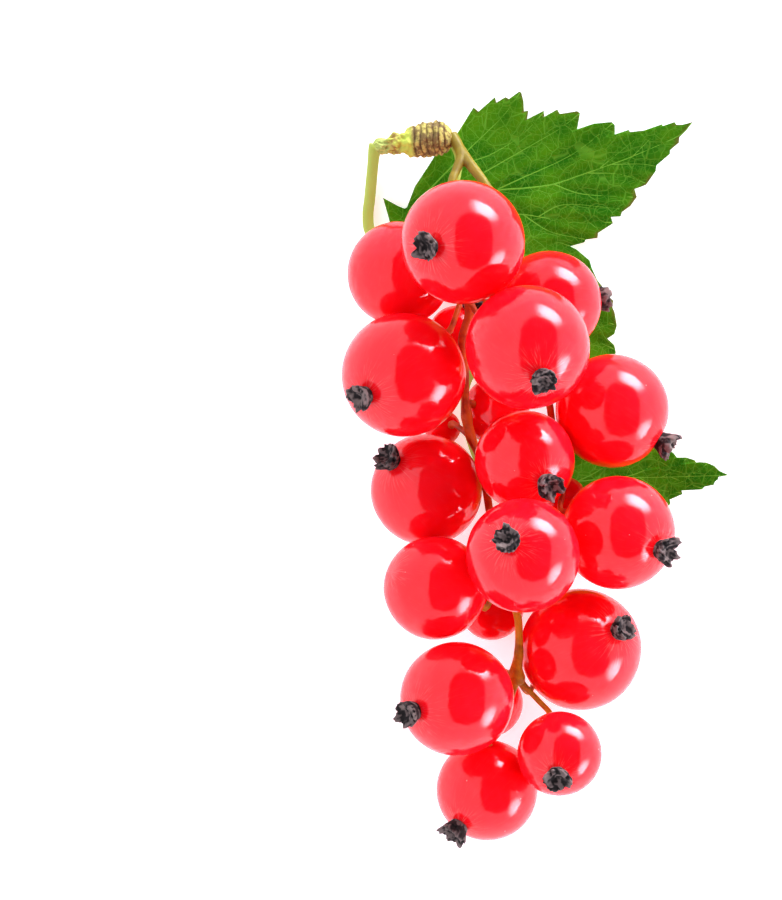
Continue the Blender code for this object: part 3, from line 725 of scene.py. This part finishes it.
# %% Leaf tables
UPPER_LEAF = {
    "base": (-11.4, 22.6),
    "edge": (
        (-11.75, 22.95), (-11.53, 23.06), (-10.82, 24.92), (-9.58, 26.79), (-8.92, 27.85), (-7.73, 28.74),
        (-6.85, 29.0), (-6.5, 30.1), (-6.1, 31.15), (-5.6, 31.95), (-5.16, 31.58), (-4.35, 32.29),
        (-3.69, 32.87), (-3.55, 32.38), (-2.75, 32.87), (-2.44, 32.69), (-1.51, 33.37), (-1.33, 33.24),
        (-1.15, 32.5), (-1.1, 31.58), (-0.71, 31.67), (-0.82, 30.9), (0.65, 31.65), (0.73, 31.13),
        (1.86, 31.77), (2.1, 31.37), (3.64, 31.62), (3.9, 31.44), (3.64, 30.01), (5.14, 30.51),
        (6.71, 30.65), (6.99, 30.38), (6.99, 29.54), (8.22, 29.95), (8.35, 29.75), (9.55, 29.89),
        (9.75, 29.75), (11.18, 30.44), (11.3, 30.2), (12.3, 30.63), (12.45, 30.38), (12.99, 30.38),
        (13.93, 30.63), (13.3, 29.82), (12.74, 29.27), (12.68, 28.77), (11.93, 28.14), (11.87, 27.76),
        (10.69, 26.77), (10.64, 26.27), (9.76, 25.03), (8.75, 24.66), (8.95, 23.97), (8.38, 23.16),
        (7.63, 22.62), (7.51, 22.23), (6.64, 22.18), (6.83, 21.61), (5.5, 20.76), (5.46, 20.31),
        (4.4, 20.17), (4.28, 19.92), (3.02, 19.58), (3.6, 19.29), (4.75, 18.31), (4.91, 17.74),
        (5.41, 16.59), (6.12, 15.7), (6.12, 15.43), (6.87, 14.72), (6.79, 14.13), (6.96, 13.75),
        (7.18, 12.51), (6.96, 11.75), (6.33, 11.35), (6.96, 10.77), (7.1, 10.11), (7.01, 9.76),
        (6.12, 8.34), (4.26, 9.22), (2.04, 10.11), (-0.62, 11.35), (-3.28, 13.13), (-5.94, 15.43),
        (-8.6, 18.09), (-10.82, 20.22), (-12.51, 21.29), (-13.08, 21.78), (-13.15, 22.09), (-13.67, 23.91),
        (-12.3, 23.17),
    ),
    # Each vein is a route from the base or from another vein to a tooth, with its radius where it starts.
    "veins": (
        (0.17, (-11.4, 22.6), (-7.4, 23.6), (-3.64, 24.53), (-1.06, 24.75), (1.51, 25.1), (4.17, 25.99),
         (6.21, 26.7), (8.6, 27.59), (12.6, 29.36), (13.8, 30.5)),
        (0.15, (-11.4, 22.6), (-8.6, 25.6), (-5.85, 28.38), (-3.02, 31.13), (-1.5, 33.2)),
        (0.11, (-3.46, 24.66), (-1.51, 25.55), (3.19, 27.76), (6.8, 30.5)),
        (0.11, (-4.79, 26.08), (-2.31, 27.5), (1.95, 29.98), (3.85, 31.4)),
        (0.10, (-6.8, 26.9), (-4.2, 27.7), (-1.4, 29.4), (0.65, 31.5)),
        (0.11, (1.51, 25.1), (4.17, 24.22), (8.6, 23.95)),
        (0.09, (4.6, 26.1), (7.4, 26.0), (9.7, 25.2)),
        (0.09, (6.6, 26.85), (9.2, 26.9), (10.6, 26.7)),
        (0.08, (5.6, 26.5), (8.2, 28.6), (9.6, 29.8)),
        (0.08, (8.6, 27.59), (10.2, 29.2), (11.2, 30.3)),
        (0.15, (-11.4, 22.6), (-6.4, 22.5), (-1.51, 22.44), (1.51, 22.0), (5.23, 21.73), (6.7, 21.7)),
        (0.09, (0.1, 22.2), (2.6, 23.3), (7.4, 22.9)),
        (0.09, (-1.2, 22.4), (1.2, 20.9), (4.3, 20.2)),
        (0.14, (-11.4, 22.6), (-5.6, 19.6), (-0.8, 18.8), (1.69, 19.87), (3.0, 19.6)),
        (0.14, (-11.4, 22.6), (-6.0, 18.2), (-0.5, 15.0), (3.4, 13.9), (6.9, 12.6)),
        (0.09, (-0.2, 14.9), (2.6, 16.6), (4.9, 17.6)),
        (0.09, (1.6, 14.4), (4.2, 15.1), (6.1, 15.5)),
        (0.09, (1.0, 14.5), (3.8, 12.0), (6.9, 10.4)),
        (0.08, (4.6, 13.5), (5.8, 14.0), (6.8, 14.3)),
    ),
    "stalk": (
        (-14.3, 28.6, 2.1), (-14.45, 27.9, 1.95), (-14.55, 27.0, 1.6), (-14.7, 25.4, 1.1),
        (-14.85, 23.8, 0.8), (-15.0, 22.3, 0.7), (-14.8, 20.9, 0.72), (-13.7, 20.1, 0.75),
        (-12.3, 20.6, 0.75), (-11.0, 21.8, 0.7), (-10.1, 22.6, 0.6),
    ),
}
LOWER_LEAF = {
    "base": (-2.6, -2.3),
    "edge": (
        (17.12, -0.82), (16.3, -0.44), (15.82, 0.03), (15.16, 0.31), (14.5, 0.35), (14.25, 0.31),
        (14.09, 0.53), (13.35, 0.76), (12.53, 0.76), (12.28, 1.09), (11.88, 1.42), (11.22, 1.61),
        (10.24, 1.67), (9.75, 1.42), (8.6, 1.9), (8.1, 1.7), (6.65, 2.22), (6.1, 2.0), (4.26, 2.4),
        (3.6, 2.1), (2.04, 2.2), (-0.18, 1.42), (-1.95, 0.35), (-3.02, -1.24), (-3.1, -2.13),
        (-2.93, -3.02), (-2.22, -4.08), (-1.15, -5.68), (0.71, -7.01), (2.93, -7.72), (5.14, -8.16),
        (7.45, -7.98), (9.05, -6.74), (11.18, -4.35), (11.96, -3.34), (11.88, -3.01), (13.03, -2.51),
        (12.94, -2.2), (14.75, -2.1), (14.99, -1.85), (15.78, -1.69), (15.9, -1.4), (16.17, -1.2),
        (16.22, -0.98),
    ),
    "veins": (
        (0.15, (-2.6, -2.3), (2.6, -1.5), (7.0, -1.1), (11.5, -1.0), (17.0, -0.82)),
        (0.10, (3.6, -1.4), (5.6, -0.4), (8.0, 1.4), (8.6, 1.8)),
        (0.10, (7.6, -1.1), (9.6, -0.4), (11.2, 0.9), (11.9, 1.35)),
        (0.08, (11.2, -1.0), (12.6, -0.2), (13.4, 0.7)),
        (0.07, (13.4, -0.95), (14.6, -0.4), (15.2, 0.25)),
        (0.10, (5.4, -1.3), (8.0, -2.9), (11.0, -4.3)),
        (0.08, (9.2, -1.05), (11.0, -2.1), (12.9, -2.4)),
        (0.07, (12.0, -1.0), (13.6, -1.6), (14.8, -2.0)),
        (0.13, (-2.6, -2.3), (1.4, -4.4), (5.0, -6.4), (7.4, -7.9)),
        (0.10, (-0.4, -2.0), (2.6, 0.2), (4.2, 2.2)),
    ),
    "stalk": (
        (-7.2, 28.5, 1.25), (-6.95, 27.8, 1.5), (-6.9, 27.0, 1.6), (-7.1, 25.8, 1.6), (-7.4, 24.2, 1.5),
        (-7.4, 21.5, 1.35), (-6.6, 18.0, 1.3), (-5.3, 15.4, 1.25), (-4.3, 13.3, 1.05), (-4.2, 11.5, 0.75),
        (-4.8, 9.5, 0.6), (-6.1, 7.6, 0.6), (-6.4, 5.6, 0.6), (-6.2, 3.6, 0.6), (-5.5, 1.2, 0.58),
        (-4.4, -1.0, 0.55), (-2.6, -2.3, 0.52), (-1.6, -2.4, 0.48),
    ),
}
LEAF_THICK = 0.26
PUFF_MM, VEIN_SINK_MM = 0.30, 0.08


# %% Leaf shape
def upper_leaf_height(x, y):
    """The upper leaf lies nearly flat under the bunch, and curls up to its right tip and its top lobe."""
    tip_curl = 0.0095 * np.maximum(x + 1.0, 0.0) ** 2
    top_curl = 0.03 * np.maximum(y - 27.5, 0.0) ** 2
    return 0.45 + tip_curl + top_curl + 0.13 * np.sin(0.62 * x + 0.35 * y) * np.cos(0.5 * y - 0.3 * x)


def lower_leaf_height(x, y):
    """The lower leaf lies nearly flat under the bunch, and curls up to its tip."""
    return 0.42 + 0.022 * np.maximum(x - 7.5, 0.0) ** 2 + 0.1 * np.sin(0.6 * x + 0.8 * y)


def distance_to_veins(x, y, veins):
    """The distance from each place to the nearest stretch of any vein, as whole arrays."""
    places = np.stack([x, y], axis=-1)
    nearest = np.full(x.shape, 99.0)
    for _, *route in veins:
        for start, end in zip(np.array(route), np.array(route)[1:]):
            way = end - start
            share = np.clip(((places - start) @ way) / (way @ way), 0.0, 1.0)
            nearest = np.minimum(nearest, np.linalg.norm(places - start - share[..., None] * way, axis=-1))
    return nearest


def closely_spaced(edge, step):
    """The edge as points about `step` apart, keeping every tooth's tip and notch."""
    closed = np.array([*edge, edge[0]])
    pieces = []
    for start, end in zip(closed, closed[1:]):
        count = max(1, round(float(np.linalg.norm(end - start)) / step))
        pieces.append(start + np.arange(count)[:, None] / count * (end - start))
    return np.vstack(pieces)


def leaf_surface(leaf, height, x, y):
    """Height of the blade's middle: the leaf's own curve, sunk a little and puffed up between the veins.

    The puff is its full height times 1 less exp(-(distance to a vein ^ 1.3)).
    """
    apart = distance_to_veins(x, y, leaf["veins"])
    return height(x, y) + PUFF_MM * (1.0 - np.exp(-(apart**1.3))) - VEIN_SINK_MM, apart


def blade_skin(leaf, height, rings_above=104, rings_below=34):
    """Closed blade: rings of the edge drawn in to the base, out along the underside and back in above it.

    The blade thins towards its edge, as thickness times the root of what is left of the way.
    """
    base = np.array(leaf["base"])
    edge = closely_spaced(leaf["edge"], 0.26)
    below = np.linspace(0.03, 0.999, rings_below)
    above = np.linspace(1.0, 0.03, rings_above)
    share = np.concatenate([below, above])[:, None, None]
    side = np.concatenate([-np.ones(rings_below), np.ones(rings_above)])[:, None]
    flat = base + share * (edge - base)
    middle, apart = leaf_surface(leaf, height, flat[..., 0], flat[..., 1])
    thick = LEAF_THICK * np.clip((1.0 - share[..., 0]) * 22.0, 0.12, 1.0) ** 0.5
    rings = np.dstack([flat, middle + side * thick / 2])
    ends = np.array([[*base, 0.35], [*base, 0.6]]) + MOVED
    none = 0 * apart
    return closed_skin(
        rings + MOVED, ends[0], ends[1],
        vein=none, edge=share[..., 0] + none, under=(1 - side) / 2 + none, apart=apart,
    )


def vein_skins(leaf, height):
    """A tapered tube along each vein, sunk half into the blade's upper face."""
    skins = []
    for radius, *route in leaf["veins"]:
        path = smooth_route([(x, y, 0.0) for x, y in route], 0.22)
        middle, _ = leaf_surface(leaf, height, path[:, 0], path[:, 1])
        path[:, 2] = middle + LEAF_THICK / 2 - 0.02
        share = np.linspace(0.0, 1.0, len(path))
        taper = np.maximum(0.7 * radius * (1.0 - 0.72 * share), 0.04)
        marks = {"vein": 1.0, "edge": 0.5, "under": 0.0, "apart": 0.0}
        skins.append(tube_skin(path + MOVED, taper, around=8, flat=0.7, **marks))
    return skins


def leaf_stalk_skin(leaf, radius):
    """The leaf's stalk, wider where it leaves the spur and where it enters the blade."""
    route = smooth_route(leaf["stalk"], 0.3) + MOVED
    travelled = lengths_along(route)
    ends = np.exp(-((travelled / 0.9) ** 2)) + 0.5 * np.exp(-(((travelled[-1] - travelled) / 1.5) ** 2))
    return tube_skin(route, radius * (1.0 + 0.22 * ends), around=20, vein=2.0, edge=0.5, under=0.0, apart=0.0)


# %% [markdown]
# The blade is mid-green and softly glossy, with painted light that makes it lighter where it puffs up between
# the veins. Its veins are yellow-green.
# Between them runs a fine net, paler than the blade and slightly sunk. The teeth end in dark red-brown
# points, the underside is paler, and the stalk is a pale yellow-green. A thin blade also lets light through;
# here a painted glow stands in for that: the blade gives off some of its own colour, which also keeps it
# green where the berries shade it.

# %% Leaf material
leaf_material, tree, shader, place = new_material("leaf_blade", 0.55, 1.38)
shader.inputs["Specular IOR Level"].default_value = 0.06
warp = add_node(tree, "TexNoise", place)
warp.inputs["Scale"].default_value = 500.0
bend = add_node(tree, "VectorMath", warp.outputs["Color"], (0.5, 0.5, 0.5), operation="SUBTRACT").outputs[0]
bend = add_node(tree, "VectorMath", bend, (0.0009, 0.0009, 0.0009), operation="MULTIPLY").outputs[0]
bent_place = add_node(tree, "VectorMath", place, bend, operation="ADD").outputs[0]
flat_place = add_node(tree, "VectorMath", bent_place, (1.0, 1.0, 0.0), operation="MULTIPLY").outputs[0]
coarse_net = ranged(tree, cell_walls(tree, flat_place, 760.0), 0.0, 0.05, 1.0, 0.0)
fine_net = ranged(tree, cell_walls(tree, flat_place, 2100.0), 0.0, 0.10, 1.0, 0.0)
net = maths(tree, "MAXIMUM", coarse_net, maths(tree, "MULTIPLY", fine_net, 0.55))
mottle = speckle(tree, place, 320.0, 3.0)
# painted light: the blade is made lighter where it puffs up between the veins
puff_painted_light = ranged(tree, mark(tree, "apart"), 0.1, 1.3)
green = blend_colours(tree, ranged(tree, mottle, 0.35, 0.66), (0.010, 0.080, 0.0008), (0.032, 0.128, 0.0016))
green = blend_colours(tree, maths(tree, "MULTIPLY", puff_painted_light, 0.45), green, (0.052, 0.160, 0.002))
green = blend_colours(tree, maths(tree, "MULTIPLY", net, 0.42), green, (0.10, 0.26, 0.02))
green = blend_colours(tree, mark(tree, "under"), green, (0.14, 0.26, 0.06))
near_edge = ranged(tree, mark(tree, "edge"), 0.972, 1.0)
tips = maths(tree, "MULTIPLY", near_edge, ranged(tree, mottle, 0.42, 0.60, 0.05, 0.75))
green = blend_colours(tree, tips, green, (0.085, 0.045, 0.012))
vein_share = ranged(tree, mark(tree, "vein"), 0.2, 0.9)
green = blend_colours(tree, vein_share, green, (0.09, 0.24, 0.02))
pale_stalk = blend_colours(tree, mottle, (0.20, 0.23, 0.035), (0.30, 0.34, 0.075))
green = blend_colours(tree, ranged(tree, mark(tree, "vein"), 1.3, 1.8), green, pale_stalk)
feed(tree, shader.inputs["Base Color"], green)
# painted glow: the blade gives off its own colour, so it stays green where the berries shade it
feed(tree, shader.inputs["Emission Color"], green)
BLADE_GLOW_FOR_LIGHT_THROUGH = 0.75
shader.inputs["Emission Strength"].default_value = BLADE_GLOW_FOR_LIGHT_THROUGH
shader.inputs["Subsurface Weight"].default_value = 0.15
shader.inputs["Subsurface Radius"].default_value = (0.4, 1.0, 0.1)
shader.inputs["Subsurface Scale"].default_value = 0.3 * MM
sunk = maths(tree, "SUBTRACT", 1.0, maths(tree, "MULTIPLY", net, maths(tree, "SUBTRACT", 1.0, vein_share)))
relief(tree, shader, sunk, 0.09, 0.55)

# %% Leaf pieces
for name, leaf, height, radius in (
    ("leaf_upper", UPPER_LEAF, upper_leaf_height, 0.50), ("leaf_lower", LOWER_LEAF, lower_leaf_height, 0.36)
):
    skins = [blade_skin(leaf, height), *vein_skins(leaf, height), leaf_stalk_skin(leaf, radius)]
    mesh = mesh_of(name, skins)
    finish_piece(f"{name}_blade", mesh, leaf_material, "leaf_green", name)
    print(name, "triangles:", sum(2 * len(skin["quads"]) + len(skin["fans"]) for skin in skins))

# %% [markdown]
# ## Finish
# The colours are shown as they are, with no film curve, so that white stays white.

# %% Finish
bpy.context.scene.view_settings.view_transform = "Standard"
